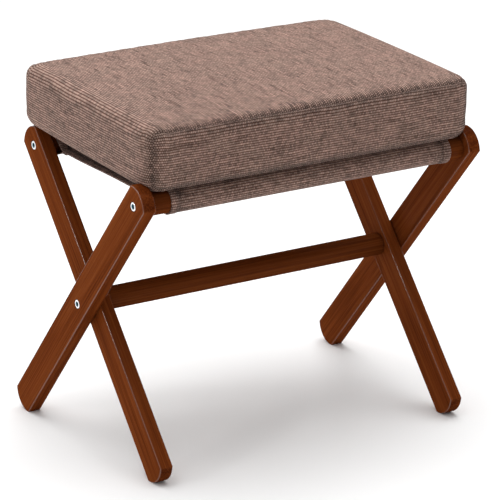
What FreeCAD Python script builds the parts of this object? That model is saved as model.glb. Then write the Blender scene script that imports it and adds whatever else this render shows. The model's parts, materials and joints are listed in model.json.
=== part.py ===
import FreeCAD, Part
import math
import os

import Sketcher

# Vanity stool: two crossed wooden frames, a cloth sling between their rails and a loose box cushion.
# +X runs along the seat, -Y is the front and +Z is up. The origin is on the floor under the middle.
# The inner frame holds the inner legs, the back rail and the stretcher. The outer frame holds the outer
# legs and the front rail, and folds about the stretcher's axis.

DIMENSIONS = {
    # Frame, in millimetres and degrees
    "frame_length": 500.0,
    "spread_angle": 41.0,
    "leg_length": 500.0,
    "leg_width": 42.0,
    "leg_thickness": 18.0,
    "leg_end_radius": 30.0,
    "leg_edge_bevel": 1.2,
    "foot_flat_depth": 0.5,
    "rail_inset": 25.0,
    "rail_diameter": 30.0,
    "stretcher_diameter": 30.0,
    "tenon_diameter": 20.0,
    "tenon_length": 5.0,
    "tenon_fit": 0.05,
    "tenon_end_gap": 0.2,
    # Bolts, inserts, bushes and washers
    "head_diameter": 12.0,
    "head_height": 3.0,
    "head_rim": 0.6,
    "head_sink": 0.5,
    "head_clearance": 0.5,
    "hex_width": 5.0,
    "hex_depth": 2.2,
    "thread_diameter": 6.0,
    "thread_reach": 13.0,
    "thread_fit": 0.02,
    "bolt_hole_diameter": 6.4,
    "insert_diameter": 10.0,
    "insert_length": 15.0,
    "insert_ridges": 4.0,
    "insert_groove": 0.4,
    "ridge_flat": 0.75,
    "groove_slope": 0.75,
    "bore_spare": 3.0,
    "shoulder_diameter": 8.0,
    "bush_diameter": 11.0,
    "bush_play": 0.05,
    "head_play": 0.1,
    "washer_diameter": 24.0,
    "washer_thickness": 1.8,
    "washer_fit": 0.1,
    "washer_play": 0.1,
    # Sling
    "sling_margin": 24.5,
    "sling_shift": 3.0,
    "sling_cloth": 1.3,
    "sling_ease": 0.3,
    "sling_drop": 5.0,
    "seam_reach": 32.0,
    "seam_tuck": 5.0,
    # Cushion
    "cushion_inset": 11.5,
    "cushion_overhang": 20.4,
    "cushion_thickness": 80.0,
    "cushion_crown": 4.0,
    "cushion_bulge": 1.0,
    "cushion_setback": 2.5,
    "cushion_top_round": 13.0,
    "cushion_low_round": 18.0,
    "cushion_end_round": 28.0,
    "cushion_corner_round": 24.0,
    "section_spacing": 15.0,
    "cover_cloth": 1.5,
    "soft_clearance": 0.3,
}

# Sizes that follow from the ones above, as formulas
DERIVED = {
    "end_centre": "dims.leg_length / 2 - dims.leg_end_radius",
    "pivot_height": "end_centre * cos(dims.spread_angle * 1deg) + dims.leg_end_radius"
                    " - dims.foot_flat_depth",
    "rail_reach": "dims.leg_length / 2 - dims.rail_inset",
    "rail_drop": "rail_reach * sin(dims.spread_angle * 1deg)",
    "rail_rise": "rail_reach * cos(dims.spread_angle * 1deg)",
    "leg_gap": "dims.washer_thickness + dims.washer_play",
    "outer_leg_inside": "dims.frame_length / 2 - dims.leg_thickness",
    "inner_leg_outside": "outer_leg_inside - leg_gap",
    "inner_leg_inside": "inner_leg_outside - dims.leg_thickness",
    "counterbore_depth": "dims.head_height + dims.head_sink",
    "socket_depth": "dims.tenon_length + dims.tenon_end_gap",
    "rail_bore_depth": "dims.insert_length + dims.bore_spare",
    "ridge_pitch": "dims.insert_length / dims.insert_ridges",
    "rail_bolt_length": "dims.leg_thickness - dims.head_sink - dims.tenon_length + dims.thread_reach",
    "shoulder_length": "dims.leg_thickness - counterbore_depth + dims.head_play + leg_gap",
    "sleeve_inside": "dims.rail_diameter / 2 + dims.sling_ease",
    "sleeve_outside": "sleeve_inside + dims.sling_cloth",
    "sling_width": "2 * (outer_leg_inside - dims.sling_margin)",
    "cushion_length": "dims.frame_length - 2 * dims.cushion_inset",
    "cushion_depth": "2 * (rail_drop + dims.cushion_overhang)",
}

SIDES = (("left", -1), ("right", 1))

# How far apart an outline's corners are drawn before their formulas place them, in millimetres
ROUGH_STEP = 3.0

# An edge that spans less than this along X, in millimetres, lies in a leg's face
FACE_TOLERANCE = 0.001

# Where the rounding of the cushion's ends is sectioned, in degrees round it
ROUNDING_STATIONS = (8, 30, 50, 70)

doc = FreeCAD.newDocument("vanity_stool")


def fill_sheet(name, cells):
    """Makes a spreadsheet with one alias in each row, and its value or formula beside it."""
    sheet = doc.addObject("Spreadsheet::Sheet", name)
    for row, (alias, content) in enumerate(cells.items(), start=1):
        sheet.set("A%d" % row, alias)
        sheet.set("B%d" % row, str(content) if isinstance(content, float) else "=" + content)
        sheet.setAlias("B%d" % row, alias)
    doc.recompute()
    return sheet


dims = fill_sheet("dims", DIMENSIONS)
derived = fill_sheet("derived", DERIVED)


def size(alias):
    """A plain number from either sheet."""
    sheet = dims if alias in DIMENSIONS else derived
    return float(sheet.get(alias))


def origin_plane(body, role):
    """One of a body's own origin planes."""
    for feature in body.Origin.OriginFeatures:
        if feature.Role == role:
            return feature
    raise ValueError("no plane " + role)


def new_body(label):
    body = doc.addObject("PartDesign::Body", label)
    body.Label = label
    return body


def new_sketch(body, name, plane):
    sketch = body.newObject("Sketcher::SketchObject", name)
    sketch.AttachmentSupport = [(origin_plane(body, plane), "")]
    sketch.MapMode = "FlatFace"
    return sketch


def pin(sketch, line, end, across, along):
    """Holds a point of a sketch at two formulas; the word 0 puts it on the sketch's own axis."""
    for kind, axis, formula in (("DistanceX", -2, across), ("DistanceY", -1, along)):
        if formula == "0":
            sketch.addConstraint(Sketcher.Constraint("PointOnObject", line, end, axis))
        else:
            number = sketch.addConstraint(Sketcher.Constraint(kind, -1, 1, line, end, 1.0))
            sketch.setExpression("Constraints[%d]" % number, formula)


def draw_line(sketch, first, last):
    sketch.addGeometry(Part.LineSegment(FreeCAD.Vector(*first), FreeCAD.Vector(*last)))


def draw_arc(sketch, centre, radius, start, finish):
    """An arc drawn anticlockwise between two angles, in radians."""
    circle = Part.Circle(FreeCAD.Vector(*centre), FreeCAD.Vector(0, 0, 1), radius)
    sketch.addGeometry(Part.ArcOfCircle(circle, start, finish))


def closed_outline(sketch, corners):
    """Draws a closed outline through corners, each a pair of formulas."""
    count = len(corners)
    rough = [FreeCAD.Vector(ROUGH_STEP * i, ROUGH_STEP * (1 + i * i), 0) for i in range(count)]
    for i in range(count):
        sketch.addGeometry(Part.LineSegment(rough[i], rough[(i + 1) % count]))
    for i in range(count):
        sketch.addConstraint(Sketcher.Constraint("Coincident", i, 2, (i + 1) % count, 1))
    for i, (across, along) in enumerate(corners):
        pin(sketch, i, 1, across, along)
    doc.recompute()


def turned_piece(label, corners):
    """A body turned about X: corners are pairs of formulas, a place along X and a radius."""
    body = new_body(label)
    sketch = new_sketch(body, label + "_profile", "XY_Plane")
    closed_outline(sketch, corners)
    turning = body.newObject("PartDesign::Revolution", label + "_turning")
    turning.Profile = sketch
    turning.ReferenceAxis = (sketch, ["H_Axis"])
    turning.Angle = 360.0
    doc.recompute()
    return body


def place_on_axis(body, side, outward, frame_side):
    """Puts a turned piece on its axis, its +X pointing away from the stool's middle."""
    body.Placement.Rotation = FreeCAD.Rotation(FreeCAD.Vector(0, 0, 1), 0 if side > 0 else 180)
    body.setExpression("Placement.Base.x", "%d * (%s)" % (side, outward))
    if frame_side == 0:
        body.setExpression("Placement.Base.z", "derived.pivot_height")
    else:
        body.setExpression("Placement.Base.y", "%d * derived.rail_drop" % frame_side)
        body.setExpression("Placement.Base.z", "derived.pivot_height + derived.rail_rise")


def drill(body, name, side, diameter, start, depth, up):
    """Cuts a round hole along X. start is measured outward from the leg's inside face."""
    hole = body.newObject("PartDesign::SubtractiveCylinder", name)
    hole.setExpression("Radius", "(%s) / 2" % diameter)
    hole.setExpression("Height", depth)
    hole.Placement.Rotation = FreeCAD.Rotation(FreeCAD.Vector(0, 1, 0), 90)
    near = start if side > 0 else "-(%s) - (%s)" % (start, depth)
    hole.setExpression("Placement.Base.x", near)
    hole.setExpression("Placement.Base.z", up)


def leg_outline(body, label):
    """The leg seen from the stool's end: straight edges with an arc at each end."""
    sketch = new_sketch(body, label + "_outline", "YZ_Plane")
    half, radius, centre = size("leg_width") / 2, size("leg_end_radius"), size("end_centre")
    corner = centre + math.sqrt(radius ** 2 - half ** 2)
    lean = math.asin(half / radius)
    draw_line(sketch, (half, -corner), (half, corner))
    draw_arc(sketch, (0, centre), radius, math.pi / 2 - lean, math.pi / 2 + lean)
    draw_line(sketch, (-half, corner), (-half, -corner))
    draw_arc(sketch, (0, -centre), radius, -math.pi / 2 - lean, -math.pi / 2 + lean)
    for first, first_end, second, second_end in ((0, 2, 1, 1), (1, 2, 2, 1), (2, 2, 3, 1), (3, 2, 0, 1)):
        sketch.addConstraint(Sketcher.Constraint("Coincident", first, first_end, second, second_end))
    for line, sign in ((0, 1), (2, -1)):
        sketch.addConstraint(Sketcher.Constraint("Vertical", line))
        width = sketch.addConstraint(Sketcher.Constraint("DistanceX", -1, 1, line, 1, sign * half))
        sketch.setExpression("Constraints[%d]" % width, "%d * dims.leg_width / 2" % sign)
    for arc, sign in ((1, 1), (3, -1)):
        pin(sketch, arc, 3, "0", "%d * derived.end_centre" % sign)
        bend = sketch.addConstraint(Sketcher.Constraint("Radius", arc, radius))
        sketch.setExpression("Constraints[%d]" % bend, "dims.leg_end_radius")
    doc.recompute()
    return sketch


def make_leg(label, side, lean, carries_bush):
    """One leg, upright about its pivot, then leaned. lean is 1 where the top goes to the front."""
    body = new_body(label)
    blank = body.newObject("PartDesign::Pad", label + "_blank")
    blank.Profile = leg_outline(body, label)
    blank.setExpression("Length", "dims.leg_thickness")
    blank.Reversed = side < 0
    doc.recompute()

    # The long edges and the end arcs are bevelled on both faces
    face_edges = [
        "Edge%d" % number for number, edge in enumerate(blank.Shape.Edges, start=1)
        if edge.BoundBox.XLength < FACE_TOLERANCE
    ]
    bevel = body.newObject("PartDesign::Chamfer", label + "_edges")
    bevel.Base = (blank, face_edges)
    bevel.setExpression("Size", "dims.leg_edge_bevel")
    doc.recompute()

    # The foot is cut flat where it meets the floor
    down_across = "(%d * sin(dims.spread_angle * 1deg))" % -lean
    down_along = "(-cos(dims.spread_angle * 1deg))"
    level_across, level_along = down_along, "(%d * sin(dims.spread_angle * 1deg))" % lean
    corners = []
    for reach, deep in ((-1, 0), (1, 0), (1, 1), (-1, 1)):
        sideways = "(%d * dims.leg_length / 2)" % reach
        away = "(derived.pivot_height + %d * dims.leg_width)" % deep
        corners.append((
            "%s * %s + %s * %s" % (away, down_across, sideways, level_across),
            "%s * %s + %s * %s" % (away, down_along, sideways, level_along),
        ))
    floor_line = new_sketch(body, label + "_floor_line", "YZ_Plane")
    closed_outline(floor_line, corners)
    foot = body.newObject("PartDesign::Pocket", label + "_foot")
    foot.Profile = floor_line
    foot.Type = 1
    foot.Midplane = True
    doc.recompute()

    # The rail's end: a socket for its tenon, a bolt hole and a sunk seat for the bolt's head
    head_seat = "dims.head_diameter + 2 * dims.head_clearance"
    seat_start = "dims.leg_thickness - derived.counterbore_depth"
    socket = "dims.tenon_diameter + 2 * dims.tenon_fit"
    rail = "derived.rail_reach"
    drill(body, label + "_rail_socket", side, socket, "0", "derived.socket_depth", rail)
    drill(body, label + "_rail_hole", side, "dims.bolt_hole_diameter", "0", "dims.leg_thickness", rail)
    drill(body, label + "_rail_seat", side, head_seat, seat_start, "derived.counterbore_depth", rail)

    # The pivot: a bush bore and a head seat, or a socket and a bolt hole for the stretcher
    if carries_bush:
        drill(body, label + "_bush_bore", side, "dims.bush_diameter", "0", "dims.leg_thickness", "0")
        drill(body, label + "_pivot_seat", side, head_seat, seat_start, "derived.counterbore_depth", "0")
    else:
        drill(body, label + "_stretcher_socket", side, socket, "0", "derived.socket_depth", "0")
        drill(body, label + "_pivot_hole", side, "dims.bolt_hole_diameter", "0",
              "dims.leg_thickness", "0")

    inside = "derived.outer_leg_inside" if carries_bush else "derived.inner_leg_inside"
    body.Placement.Rotation = FreeCAD.Rotation(FreeCAD.Vector(lean, 0, 0), size("spread_angle"))
    body.setExpression("Placement.Rotation.Angle", "dims.spread_angle * 1deg")
    body.setExpression("Placement.Base.x", "%d * %s" % (side, inside))
    body.setExpression("Placement.Base.z", "derived.pivot_height")
    doc.recompute()
    return body


def make_bar(label, diameter, half_span, frame_side):
    """A round bar with a turned tenon and a bore for a threaded insert at each end."""
    tip = "(%s + dims.tenon_length)" % half_span
    floor = "(%s - derived.rail_bore_depth)" % tip
    tenon = "dims.tenon_diameter / 2"
    bore = "dims.insert_diameter / 2 + dims.thread_fit"
    right = [
        (half_span, "%s / 2" % diameter),
        (half_span, tenon),
        (tip, tenon),
        (tip, bore),
        (floor, bore),
        (floor, "0"),
    ]
    left = [("-(%s)" % along, radius) for along, radius in reversed(right)]
    body = turned_piece(label, right + left)
    place_on_axis(body, 1, "0", frame_side)
    return body


def cut_hex_socket(body, label):
    """The key's six-sided socket in the middle of a bolt's head."""
    socket = body.newObject("PartDesign::SubtractivePrism", label + "_hex")
    socket.Polygon = 6
    socket.setExpression("Circumradius", "dims.hex_width / 2 / cos(30deg)")
    socket.setExpression("Height", "dims.hex_depth")
    socket.Placement.Rotation = FreeCAD.Rotation(FreeCAD.Vector(0, 1, 0), -90)
    doc.recompute()


def head_corners():
    """The profile of a bolt's head, from the middle of its face to the underside of its rim."""
    rim = "dims.head_diameter / 2"
    return [
        ("0", "0"),
        ("0", "%s - dims.head_rim" % rim),
        ("-dims.head_rim", rim),
        ("-dims.head_height", rim),
    ]


def make_rail_bolt(label, side, face, frame_side):
    """A bolt from a leg's sunk seat into the insert in the rail's end. face is the leg's outside."""
    shank = "dims.thread_diameter / 2"
    tip = "-derived.rail_bolt_length"
    body = turned_piece(label, head_corners() + [("-dims.head_height", shank), (tip, shank), (tip, "0")])
    cut_hex_socket(body, label)
    place_on_axis(body, side, "%s - dims.head_sink" % face, frame_side)


def make_pivot_bolt(label, side):
    """A shouldered bolt: the outer leg turns on the shoulder, which seats on the inner leg."""
    shoulder, shank = "dims.shoulder_diameter / 2", "dims.thread_diameter / 2"
    step = "-dims.head_height - derived.shoulder_length"
    tip = "%s - dims.leg_thickness + dims.tenon_length - dims.thread_reach" % step
    body = turned_piece(label, head_corners() + [
        ("-dims.head_height", shoulder), (step, shoulder), (step, shank), (tip, shank), (tip, "0"),
    ])
    cut_hex_socket(body, label)
    place_on_axis(body, side, "dims.frame_length / 2 - dims.head_sink + dims.head_play", 0)


def make_insert(label, side, tip, frame_side):
    """A threaded insert, ridged outside, flush with a bar's tenon. tip is the tenon's end."""
    bore = "dims.thread_diameter / 2 + dims.thread_fit"
    outside = "dims.insert_diameter / 2"
    groove = "%s - dims.insert_groove" % outside
    corners = [("0", bore), ("0", outside)]
    for ridge in range(int(size("insert_ridges"))):
        start, finish = "(%d * derived.ridge_pitch)" % ridge, "(%d * derived.ridge_pitch)" % (ridge + 1)
        corners += [
            ("-%s - dims.ridge_flat" % start, outside),
            ("-%s - dims.ridge_flat - dims.groove_slope" % start, groove),
            ("-%s + dims.groove_slope" % finish, groove),
            ("-%s" % finish, outside),
        ]
    corners.append(("-dims.insert_length", bore))
    body = turned_piece(label, corners)
    place_on_axis(body, side, tip, frame_side)


def make_ring(label, side, bore, outside, thickness, outward):
    """A plain ring on the pivot's axis; outward is where its inner face lies."""
    body = turned_piece(label, [
        ("0", bore), ("0", outside), (thickness, outside), (thickness, bore),
    ])
    place_on_axis(body, side, outward, 0)


def touch_turns(centre, radius, outside):
    """The angles at which the two tangents from an outside point touch a circle: the lower first."""
    across, up = outside[0] - centre[0], outside[1] - centre[1]
    swing = math.acos(radius / math.hypot(across, up))
    heading = math.atan2(up, across)
    return sorted((heading - swing, heading + swing), key=lambda turn: math.sin(turn))


def on_circle(centre, radius, turn):
    return centre[0] + radius * math.cos(turn), centre[1] + radius * math.sin(turn)


def draw_sleeve(sketch, side, radius_name, upper_seam, lower_seam):
    """One skin of a rail's sleeve: a line from each seam point and the arc that both lines touch.

    A seam point is a pair of numbers with a pair of formulas. The geometry's first number is returned.
    """
    first = sketch.GeometryCount
    centre, radius = (side * size("rail_drop"), 0.0), size(radius_name)
    lower = touch_turns(centre, radius, lower_seam[0])[0]
    upper = touch_turns(centre, radius, upper_seam[0])[1]
    draw_line(sketch, upper_seam[0], on_circle(centre, radius, upper))
    draw_line(sketch, lower_seam[0], on_circle(centre, radius, lower))
    draw_arc(sketch, centre, radius, *((lower, upper) if side > 0 else (upper, lower)))
    upper_end, lower_end = (2, 1) if side > 0 else (1, 2)
    sketch.addConstraint(Sketcher.Constraint("Tangent", first, 2, first + 2, upper_end))
    sketch.addConstraint(Sketcher.Constraint("Tangent", first + 1, 2, first + 2, lower_end))
    bend = sketch.addConstraint(Sketcher.Constraint("Radius", first + 2, radius))
    sketch.setExpression("Constraints[%d]" % bend, "derived." + radius_name)
    pin(sketch, first + 2, 3, "%d * derived.rail_drop" % side, "0")
    pin(sketch, first, 1, *upper_seam[1])
    if lower_seam == upper_seam:
        sketch.addConstraint(Sketcher.Constraint("Coincident", first, 1, first + 1, 1))
    else:
        pin(sketch, first + 1, 1, *lower_seam[1])
    return first


def make_sling():
    """The cloth panel between the rails, with a sewn sleeve round each: one section along its length."""
    body = new_body("sling")
    section = new_sketch(body, "sling_section", "YZ_Plane")
    seam = size("rail_drop") - size("seam_reach")
    top, low = size("sling_cloth") - size("sling_drop"), -size("sling_cloth") - size("sling_drop")
    sleeves = []
    for side in (-1, 1):
        across = "%d * (derived.rail_drop - dims.seam_reach)" % side
        tucked = "%d * (derived.rail_drop - dims.seam_reach + dims.seam_tuck)" % side
        upper = ((side * seam, top), (across, "dims.sling_cloth - dims.sling_drop"))
        lower = ((side * seam, low), (across, "-dims.sling_cloth - dims.sling_drop"))
        tuck = ((side * (seam + size("seam_tuck")), -size("sling_drop")), (tucked, "-dims.sling_drop"))
        sleeves.append(draw_sleeve(section, side, "sleeve_outside", upper, lower))
        draw_sleeve(section, side, "sleeve_inside", tuck, tuck)
    for height, skin in ((top, 0), (low, 1)):
        panel = section.GeometryCount
        draw_line(section, (-seam, height), (seam, height))
        for end, sleeve in enumerate(sleeves, start=1):
            section.addConstraint(Sketcher.Constraint("Coincident", panel, end, sleeve + skin, 1))
    doc.recompute()

    panel = body.newObject("PartDesign::Pad", "sling_length")
    panel.Profile = section
    panel.setExpression("Length", "derived.sling_width")
    panel.Midplane = True
    body.setExpression("Placement.Base.x", "dims.sling_shift")
    body.setExpression("Placement.Base.z", "derived.pivot_height + derived.rail_rise")
    doc.recompute()


def arc_through(first, middle, last):
    return Part.Arc(first, middle, last).toShape()


def round_inset(radius, depth):
    """How far a rounding has drawn a face in, at a depth from where the rounding starts."""
    return radius - math.sqrt(radius ** 2 - (radius - min(depth, radius)) ** 2)


def cushion_section(along, depth, shrink):
    """The cushion's outline at one place along its length. depth is measured in from its end.

    The underside is rounder at the ends than at the front and back, to clear the tops of the outer legs.
    """
    low_round = size("cushion_low_round") - shrink
    end_round = size("cushion_end_round") - shrink
    top_round = size("cushion_top_round") - shrink
    corner_round = size("cushion_corner_round") - shrink
    half = size("cushion_depth") / 2 - shrink - round_inset(corner_round, depth)
    floor = shrink + round_inset(end_round, depth)
    roof = size("cushion_thickness") - shrink - round_inset(top_round, depth)
    low_bend = low_round - round_inset(low_round, depth)
    top_bend = top_round - round_inset(top_round, depth)
    to_end = 1 - (along / (size("cushion_length") / 2)) ** 2
    crown, bulge = size("cushion_crown") * to_end, size("cushion_bulge") * to_end
    diagonal = 1 - math.sqrt(0.5)

    def at(across, height):
        return FreeCAD.Vector(along, across, height)

    edges = []
    for sign in (1, -1):
        foot, shoulder = at(sign * half, floor + low_bend), at(sign * half, roof - top_bend)
        under, over = at(sign * (half - low_bend), floor), at(sign * (half - top_bend), roof)
        low_middle = at(sign * (half - low_bend * diagonal), floor + low_bend * diagonal)
        top_middle = at(sign * (half - top_bend * diagonal), roof - top_bend * diagonal)
        side_middle = at(sign * (half + bulge), (foot.z + shoulder.z) / 2)
        corner_edges = [
            (under, low_middle, foot), (foot, side_middle, shoulder), (shoulder, top_middle, over),
        ]
        if sign < 0:
            corner_edges = [(last, middle, first) for first, middle, last in reversed(corner_edges)]
        edges += [arc_through(*points) for points in corner_edges]
        if sign > 0:
            edges.append(arc_through(over, at(0, roof + crown), at(-over.y, roof)))
    edges.append(Part.makeLine(at(-(half - low_bend), floor), at(half - low_bend, floor)))
    return Part.Wire(edges)


def cushion_solid(shrink):
    """A loft through the cushion's outlines. shrink draws every face in, for the inside of the cover."""
    half = size("cushion_length") / 2 - shrink
    rounding = size("cushion_end_round")
    depths = [rounding * (1 - math.cos(math.radians(angle))) for angle in ROUNDING_STATIONS]
    steps = int(round((half - rounding) / size("section_spacing")))
    depths += [rounding + (half - rounding) * step / steps for step in range(steps)]
    places = [(depth - half, depth) for depth in depths] + [(0.0, half)]
    places += [(half - depth, depth) for depth in reversed(depths)]
    return Part.makeLoft([cushion_section(along, depth, shrink) for along, depth in places], True, False)


def cushion_seat():
    """How the cushion lies: its lean, and the height and depth of the middle of its underside.

    It rests on the sleeve round the front rail and on the tops of the inner legs, which stand higher, so
    it leans forward. Its underside is the line that touches both circles from above.
    """
    sleeve = size("sleeve_outside") + size("soft_clearance")
    leg_top = size("leg_end_radius") + size("soft_clearance")
    spread = math.radians(size("spread_angle"))
    front = FreeCAD.Vector(0, -size("rail_drop"), size("pivot_height") + size("rail_rise"))
    back = FreeCAD.Vector(0, size("end_centre") * math.sin(spread),
                          size("pivot_height") + size("end_centre") * math.cos(spread))
    reach = back - front
    lean = math.atan2(reach.z, reach.y) + math.asin((leg_top - sleeve) / reach.Length)
    touch = front + FreeCAD.Vector(0, -math.sin(lean), math.cos(lean)) * sleeve
    across = -size("cushion_setback")
    height = touch.z + (across - touch.y) * math.tan(lean)
    return lean, FreeCAD.Vector(0, across, height)


def make_cushion():
    lean, seat = cushion_seat()
    lie = FreeCAD.Placement(seat, FreeCAD.Rotation(FreeCAD.Vector(1, 0, 0), math.degrees(lean)))
    cloth = size("cover_cloth")
    shapes = {
        "cushion_cover": cushion_solid(0.0).cut(cushion_solid(cloth)),
        "cushion_core": cushion_solid(cloth + size("soft_clearance")),
    }
    for name, shape in shapes.items():
        piece = doc.addObject("Part::Feature", name)
        piece.Shape = shape
        piece.Placement = lie


for name, side in SIDES:
    make_leg("outer_leg_" + name, side, 1, True)
    make_leg("inner_leg_" + name, side, -1, False)

make_bar("front_rail", "dims.rail_diameter", "derived.outer_leg_inside", -1)
make_bar("back_rail", "dims.rail_diameter", "derived.inner_leg_inside", 1)
make_bar("stretcher", "dims.stretcher_diameter", "derived.inner_leg_inside", 0)

for name, side in SIDES:
    make_rail_bolt("front_rail_bolt_" + name, side, "dims.frame_length / 2", -1)
    make_rail_bolt("back_rail_bolt_" + name, side, "derived.inner_leg_outside", 1)
    make_pivot_bolt("pivot_bolt_" + name, side)
    make_insert("front_rail_insert_" + name, side, "derived.outer_leg_inside + dims.tenon_length", -1)
    make_insert("back_rail_insert_" + name, side, "derived.inner_leg_inside + dims.tenon_length", 1)
    make_insert("stretcher_insert_" + name, side, "derived.inner_leg_inside + dims.tenon_length", 0)
    make_ring("pivot_bush_" + name, side, "dims.shoulder_diameter / 2 + dims.bush_play",
              "dims.bush_diameter / 2", "dims.leg_thickness - derived.counterbore_depth",
              "derived.outer_leg_inside")
    make_ring("pivot_washer_" + name, side, "dims.shoulder_diameter / 2 + dims.washer_fit",
              "dims.washer_diameter / 2", "dims.washer_thickness", "derived.inner_leg_outside")

make_sling()
make_cushion()
doc.recompute()

pieces = [
    thing for thing in doc.Objects
    if thing.TypeId == "PartDesign::Body" or thing.TypeId == "Part::Feature"
]
for thing in doc.Objects:
    if "Invalid" in thing.State or "Error" in thing.State:
        raise RuntimeError("failed: " + thing.Label)
    if thing.TypeId == "Sketcher::SketchObject" and not thing.FullyConstrained:
        raise RuntimeError("loose sketch: " + thing.Label)
for piece in pieces:
    if piece.Shape.isNull() or not piece.Shape.isValid() or len(piece.Shape.Solids) != 1:
        raise RuntimeError("bad shape: " + piece.Label)

os.makedirs("parts", exist_ok=True)
for piece in pieces:
    piece.Shape.exportStep("parts/%s.step" % piece.Label)
    print("%-26s %10.1f mm3" % (piece.Label, piece.Shape.Volume))
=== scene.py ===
# %% [markdown]
# A folding vanity stool: two crossed frames of lacquered wood, a cloth sling that joins their rails, and a
# loose box cushion in ribbed cloth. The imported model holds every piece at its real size. This lesson
# dresses it: it gives the wood, cloth and steel their shapes and finishes, and changes no dimension.

# %% Load the frame
import bmesh
import bpy
import json
import math
import numpy as np
from mathutils import Matrix, Vector


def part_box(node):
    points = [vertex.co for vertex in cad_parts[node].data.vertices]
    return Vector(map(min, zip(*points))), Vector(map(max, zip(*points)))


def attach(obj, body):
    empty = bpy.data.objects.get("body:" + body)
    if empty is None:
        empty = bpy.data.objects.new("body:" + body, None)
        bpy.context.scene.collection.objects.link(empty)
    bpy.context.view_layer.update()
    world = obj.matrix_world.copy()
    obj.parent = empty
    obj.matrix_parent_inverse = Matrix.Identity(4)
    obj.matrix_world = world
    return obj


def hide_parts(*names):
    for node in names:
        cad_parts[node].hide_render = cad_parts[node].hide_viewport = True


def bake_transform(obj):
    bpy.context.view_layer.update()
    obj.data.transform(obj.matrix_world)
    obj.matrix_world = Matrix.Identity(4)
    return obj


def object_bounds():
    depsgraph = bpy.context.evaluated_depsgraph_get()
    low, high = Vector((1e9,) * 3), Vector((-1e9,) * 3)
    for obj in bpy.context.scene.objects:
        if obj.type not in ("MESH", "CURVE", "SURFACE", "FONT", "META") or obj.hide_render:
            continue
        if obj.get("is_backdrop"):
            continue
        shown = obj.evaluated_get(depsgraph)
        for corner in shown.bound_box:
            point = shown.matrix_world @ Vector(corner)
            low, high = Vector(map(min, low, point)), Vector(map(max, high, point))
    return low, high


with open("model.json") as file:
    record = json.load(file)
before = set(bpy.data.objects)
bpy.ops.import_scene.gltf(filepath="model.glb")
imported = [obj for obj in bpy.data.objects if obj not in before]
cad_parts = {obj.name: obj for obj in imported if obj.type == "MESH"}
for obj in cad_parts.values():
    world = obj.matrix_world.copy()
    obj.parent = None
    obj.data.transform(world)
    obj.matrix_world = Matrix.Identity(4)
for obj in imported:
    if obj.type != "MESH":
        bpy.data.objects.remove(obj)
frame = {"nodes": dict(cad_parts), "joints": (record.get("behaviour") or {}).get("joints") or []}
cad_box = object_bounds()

MM = 0.001
SIDES = (("left", -1), ("right", 1))
scene = bpy.context.scene

# %% [markdown]
# The main sizes are read from the frame, so the pieces made here fit it. The fold's axis gives the height
# of the crossing, a rail's box gives its place, and the line between them is how far the legs spread.

# %% Sizes from the frame
pivot_height = next(joint["pos_m"][2] for joint in frame["joints"] if joint["name"] == "frame_fold")


def middle_of(node):
    low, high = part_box(node)
    return (low + high) / 2


def radius_of(bar):
    low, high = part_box(bar)
    return (high.z - low.z) / 2


front_axis, back_axis = middle_of("front_rail"), middle_of("back_rail")
rail_height, rail_radius = front_axis.z, radius_of("front_rail")
spread = math.atan2(back_axis.y, rail_height - pivot_height)
rail_reach = math.hypot(back_axis.y, rail_height - pivot_height)

outer_low, outer_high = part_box("outer_leg_right")
inner_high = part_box("inner_leg_right")[1]
leg_thickness = outer_high.x - outer_low.x
leg_width, leg_end_radius, leg_edge_round = 42 * MM, 30 * MM, 1.4 * MM
leg_end_centre = (outer_high.z - pivot_height - leg_end_radius) / math.cos(spread)

print("legs spread %.1f degrees, rails %.1f mm from the crossing" % (math.degrees(spread), rail_reach / MM))

# %% [markdown]
# The camera comes first, because everything is judged through it. Its direction, distance and lens come
# from lining up the corners of the legs, rails and cushion with the photograph. It is a long lens from far
# off, so the stool's far end is hardly smaller than its near end.

# %% Camera
camera_azimuth = math.radians(-31.80)
camera_elevation = math.radians(18.61)
camera_distance = 3.796
camera_aim = Vector((0.0, 0.0, 0.2238))
camera_sideways = 7.4 * MM

to_camera = Vector((
    math.sin(camera_azimuth) * math.cos(camera_elevation),
    -math.cos(camera_azimuth) * math.cos(camera_elevation),
    math.sin(camera_elevation),
))
to_right = Vector((math.cos(camera_azimuth), math.sin(camera_azimuth), 0.0))


def aim(item, place, direction):
    """Puts a camera or a lamp in the scene at a place, looking in a direction."""
    item.location = place
    item.rotation_mode = "QUATERNION"
    item.rotation_quaternion = direction.to_track_quat("-Z", "Y")
    scene.collection.objects.link(item)


camera_data = bpy.data.cameras.new("camera")
camera_data.lens = 208.8
camera_data.sensor_width = 36.0
camera_data.clip_start, camera_data.clip_end = 0.1, 100.0
camera = bpy.data.objects.new("camera", camera_data)
aim(camera, camera_aim + to_camera * camera_distance + to_right * camera_sideways, -to_camera)
scene.camera = camera
print("camera at", [round(value, 3) for value in camera.location])

# %% [markdown]
# Materials and Geometry Nodes could be wired node by node, but a long tree is easier to read as
# arithmetic. A Wire stands for one output socket: adding or multiplying wires adds Math nodes. Any other
# node comes from Tree.node, which takes its type, its settings and what its sockets get.

# %% Wires


class Wire:
    """One output socket of a node."""

    def __init__(self, tree, socket):
        self.tree, self.socket = tree, socket

    def out(self, name):
        return Wire(self.tree, self.socket.node.outputs[name])


def operator(operation, swapped):
    """An arithmetic operator for wires, which adds a Math node."""
    return lambda wire, other: wire.tree.math(operation, *((other, wire) if swapped else (wire, other)))


for sign, operation in (("add", "ADD"), ("sub", "SUBTRACT"), ("mul", "MULTIPLY")):
    setattr(Wire, "__%s__" % sign, operator(operation, False))
    setattr(Wire, "__r%s__" % sign, operator(operation, True))

# %% Node trees


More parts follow.
